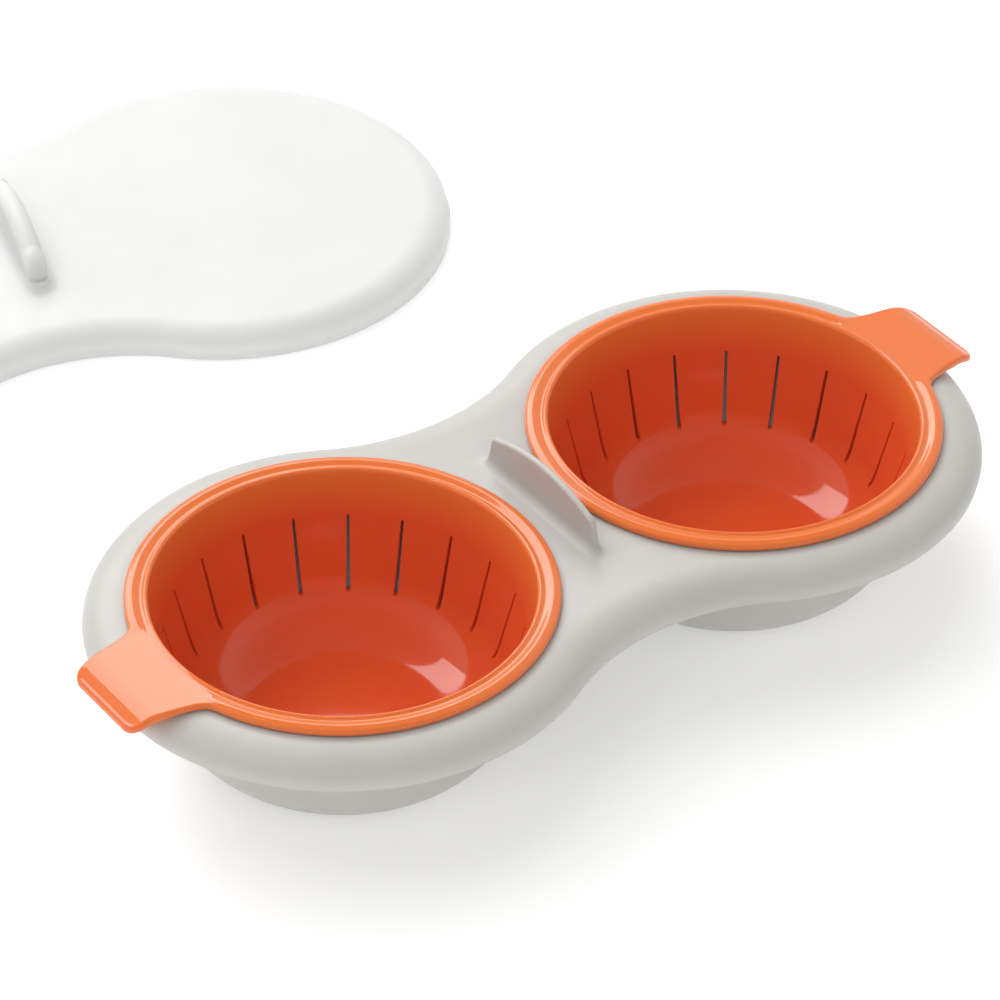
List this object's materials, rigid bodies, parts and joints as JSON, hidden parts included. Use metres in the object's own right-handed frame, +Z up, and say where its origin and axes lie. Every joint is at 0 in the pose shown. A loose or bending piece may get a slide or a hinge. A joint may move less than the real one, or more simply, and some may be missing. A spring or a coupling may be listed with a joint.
{
  "type": "egg poacher",
  "caption": "Microwave egg poacher: peanut-shaped tray on round wells, lift-out slotted poaching cups with finger tabs, and a notched lid lying beside it.",
  "frame": {"origin": "middle of the laid-out set's footprint, on the table", "axes": "+X along the tray from its left cup to its right cup, +Y from the tray towards the lid, +Z up"},
  "size_m": [0.2423, 0.3182, 0.049],
  "materials": {
    "tray_grey": "satin moulded plastic",
    "cup_orange": "glossy moulded plastic",
    "lid_frosted": "frosted translucent plastic"
  },
  "bodies": {
    "tray": {"tray": "tray_grey"},
    "cup_left": {"poaching_cup_left": "cup_orange"},
    "cup_right": {"poaching_cup_right": "cup_orange"},
    "lid": {"lid": "lid_frosted"}
  },
  "joints": [
    {"name": "cup_left_lift", "type": "slide", "parent": "tray", "child": "cup_left", "axis": [0, 0, 1], "range_m": [0, 0.06]},
    {"name": "cup_right_lift", "type": "slide", "parent": "tray", "child": "cup_right", "axis": [0, 0, 1], "range_m": [0, 0.06]},
    {"name": "lid_lift", "type": "slide", "parent": "tray", "child": "lid", "axis": [0, 0, 1], "range_m": [0, 0.06]}
  ]
}
